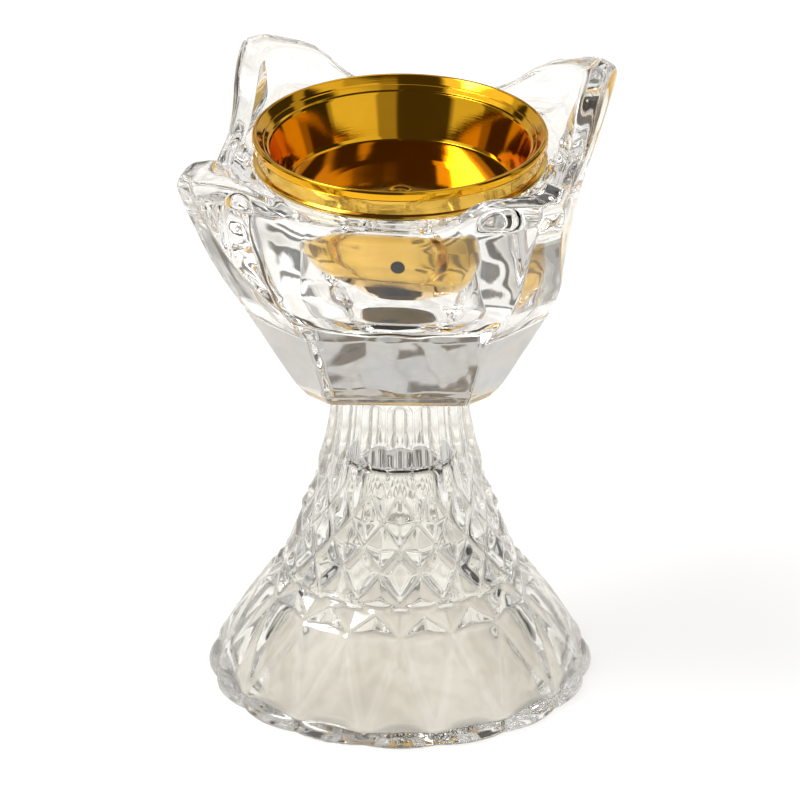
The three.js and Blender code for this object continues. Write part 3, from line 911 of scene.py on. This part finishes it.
# ---------------------------------------------------------------- room
# Azimuth runs in degrees from the camera's side, positive to the camera's right.
ROOM_STRENGTH = 0.66
PATCHES = [  # azimuth from, to, elevation from, to, level, edge; later ones cover earlier ones
    (-180, 180, -20, 9, 0.55, 6),
    (-180, 180, 58, 90, 0.08, 2.5),  # the dim top of the room
    (-100, -78, 0, 28, 0.25, 3),
    (-46, 4, -6, 78, 0.09, 2.5),  # the camera's side
    (4, 21, -6, 60, 0.55, 3),
    (21, 62, 3, 50, 1.3, 1.5),  # window at the right
    (61, 106, 44, 57, 1.3, 1.5), (66, 96, -4, 43, 0.05, 1.5), (-78, -49, 3, 28, 1.15, 1.5),
    (-112, -49, 28, 66, 1.9, 2),  # softbox at the left
    (64, 84, 69, 76, 1.1, 1.5), (-150, -122, 36, 60, 0.05, 1.5), (-150, -112, 6, 34, 1.0, 3),
    (-126, -114, 0, 26, 0.06, 1.5), (106, 132, 4, 55, 0.07, 1.5),
    # the room behind, low
    (134, 180, 3, 24, 0.92, 2), (-180, -150, 3, 24, 0.92, 2), (170, 175, 8, 12, 0.30, 0.8),
    (-180, -175, 13, 17.5, 0.32, 0.8), (163, 168, 12, 18, 0.30, 0.8), (177, 180, 4, 8, 0.25, 0.8),
    (-180, -177, 4, 8, 0.25, 0.8), (-172, -166, 7, 11.5, 0.28, 0.8),
    (-169, -164, 16, 21, 0.35, 0.8), (151, 157, 6, 16, 0.30, 0.8),
    # the room behind, high
    (134, 180, 24, 40, 1.25, 1.2), (-180, -150, 24, 40, 1.25, 1.2), (163, 180, 24, 31, 0.22, 0.8),
    (-180, -163, 24, 31, 0.22, 0.8), (170, 173, 24, 30, 1.2, 0.6), (-178, -175, 25, 31, 1.2, 0.6),
    (-169, -166, 24, 31, 0.9, 0.6), (176, 180, 32, 38, 0.05, 0.8), (-180, -177, 32, 38, 0.05, 0.8),
    (160, 167, 30, 38, 0.06, 0.8), (-167, -160, 30, 38, 0.06, 0.8), (146, 152, 25, 38, 0.10, 0.8),
    (136, 180, 46, 60, 1.5, 1.5),
]
SOFTBOX_CORE = (-104, -68, 46, 65, 3)  # azimuths, elevations, edge
CORE_LEVEL = 26.0
ROOM_TONES = [  # half the level, colour
    (0.0, (0.008, 0.010, 0.020)), (0.10, (0.20, 0.168, 0.14)), (0.36, (0.72, 0.70, 0.665)),
    (0.5, (1.0, 0.99, 0.975)), (1.0, (2.0, 2.0, 2.02)),
]
DOME_COLOR = (0.92, 0.915, 0.905, 1)


def build_world(scene):
    """Mirrors and glass see the room, the floor an even dome, the camera plain white."""
    world = bpy.data.worlds.new("soft_studio")
    scene.world = world
    world.use_nodes = True
    nodes = Nodes(world.node_tree)
    x, y, z = nodes.split(nodes.new("ShaderNodeTexCoord").outputs["Generated"])
    to_camera = nodes.add(nodes.multiply(x, VIEW_SIN), nodes.multiply(y, -VIEW_COS))
    turn = nodes.math("ARCTAN2", nodes.across_view(x, y), to_camera)
    azimuth = nodes.multiply(turn, 180 / math.pi)
    elevation = nodes.multiply(nodes.math("ARCSINE", z), 180 / math.pi)

    def patch(az0, az1, el0, el1, soft):
        return nodes.multiply(
            nodes.window(azimuth, (az0 - soft, az0 + soft), (az1 - soft, az1 + soft)),
            nodes.window(elevation, (el0 - soft, el0 + soft), (el1 - soft, el1 + soft)),
        )

    level = nodes.add(0.72, nodes.multiply(nodes.step(elevation, low=30, high=80), 0.2))
    for *window, value, soft in PATCHES:
        mask = patch(*window, soft)
        uncovered = nodes.multiply(level, nodes.math("SUBTRACT", 1.0, mask))
        level = nodes.add(uncovered, nodes.multiply(value, mask))
    tone = nodes.ramp(nodes.multiply(level, 0.5), ROOM_TONES)
    core = nodes.multiply(patch(*SOFTBOX_CORE), CORE_LEVEL)
    room = nodes.mix(tone, core, 1.0, "ADD")
    rays = nodes.new("ShaderNodeLightPath").outputs
    sees_room = nodes.math("MAXIMUM", rays["Is Glossy Ray"], rays["Is Transmission Ray"])
    color = nodes.mix(DOME_COLOR, room, sees_room)
    camera_ray = rays["Is Camera Ray"]
    background = nodes.new("ShaderNodeBackground", {
        "Color": nodes.mix(color, (1, 1, 1, 1), camera_ray),
        "Strength": nodes.add(ROOM_STRENGTH, nodes.multiply(camera_ray, 1 - ROOM_STRENGTH)),
    })
    nodes.new("ShaderNodeOutputWorld", {"Surface": background.outputs["Background"]})


# ---------------------------------------------------------------- lamps and camera
LAMP_TARGET = Vector((0, 0, 0.06))
CAMERA_ELEVATION = 25.5
CAMERA_DISTANCE, CAMERA_TARGET_Z = 2153.0, 64.35  # mm
CAMERA_LENS = 443.556


def direction(azimuth, elevation):
    """Unit vector from the burner; azimuth from the camera's side, both in degrees."""
    turn, rise = (azimuth + VIEW_AZ) * DEG, elevation * DEG
    flat = math.cos(rise)
    return math.sin(turn) * flat, -math.cos(turn) * flat, math.sin(rise)


def aim(ob, heading):
    ob.rotation_euler = heading.to_track_quat("-Z", "Y").to_euler()


def area_lamp(scene, name, azimuth, elevation, distance, size, energy):
    """Lamp facing the burner, unseen in mirrors and glass."""
    lamp = bpy.data.lights.new(name, "AREA")
    lamp.energy = energy
    lamp.shape = "RECTANGLE"
    lamp.size, lamp.size_y = size
    ob = bpy.data.objects.new(name, lamp)
    outward = Vector(direction(azimuth, elevation))
    ob.location = LAMP_TARGET + outward * distance
    aim(ob, -outward)
    ob.visible_glossy = False
    ob.visible_transmission = False
    scene.collection.objects.link(ob)


def build_camera(scene):
    x, y, z = (CAMERA_DISTANCE * part for part in direction(0, CAMERA_ELEVATION))
    position = Vector((x, y, CAMERA_TARGET_Z + z)) * MM
    camera = bpy.data.cameras.new("camera")
    camera.sensor_width = 36
    camera.lens = CAMERA_LENS
    camera.clip_start, camera.clip_end = 0.05, 20
    ob = bpy.data.objects.new("camera", camera)
    ob.location = position
    aim(ob, Vector((0, 0, CAMERA_TARGET_Z * MM)) - position)
    scene.collection.objects.link(ob)
    scene.camera = ob


scene = bpy.context.scene
build_world(scene)
for name, azimuth, elevation, distance, size, energy in (
    ("key_softbox", -74, 50, 1.0, (0.7, 0.7), 6.0),
    ("fill_softbox", 62, 44, 1.1, (0.6, 0.6), 1.8),
    ("back_softbox", 170, 48, 1.0, (0.8, 0.4), 2.4),
):
    area_lamp(scene, name, azimuth, elevation, distance, size, energy)
build_camera(scene)

scene.view_settings.view_transform = "Standard"
scene.view_settings.look = "None"
scene.cycles.max_bounces = 48
scene.cycles.transmission_bounces = 48
scene.cycles.glossy_bounces = 48
scene.cycles.diffuse_bounces = 4
scene.cycles.transparent_max_bounces = 24
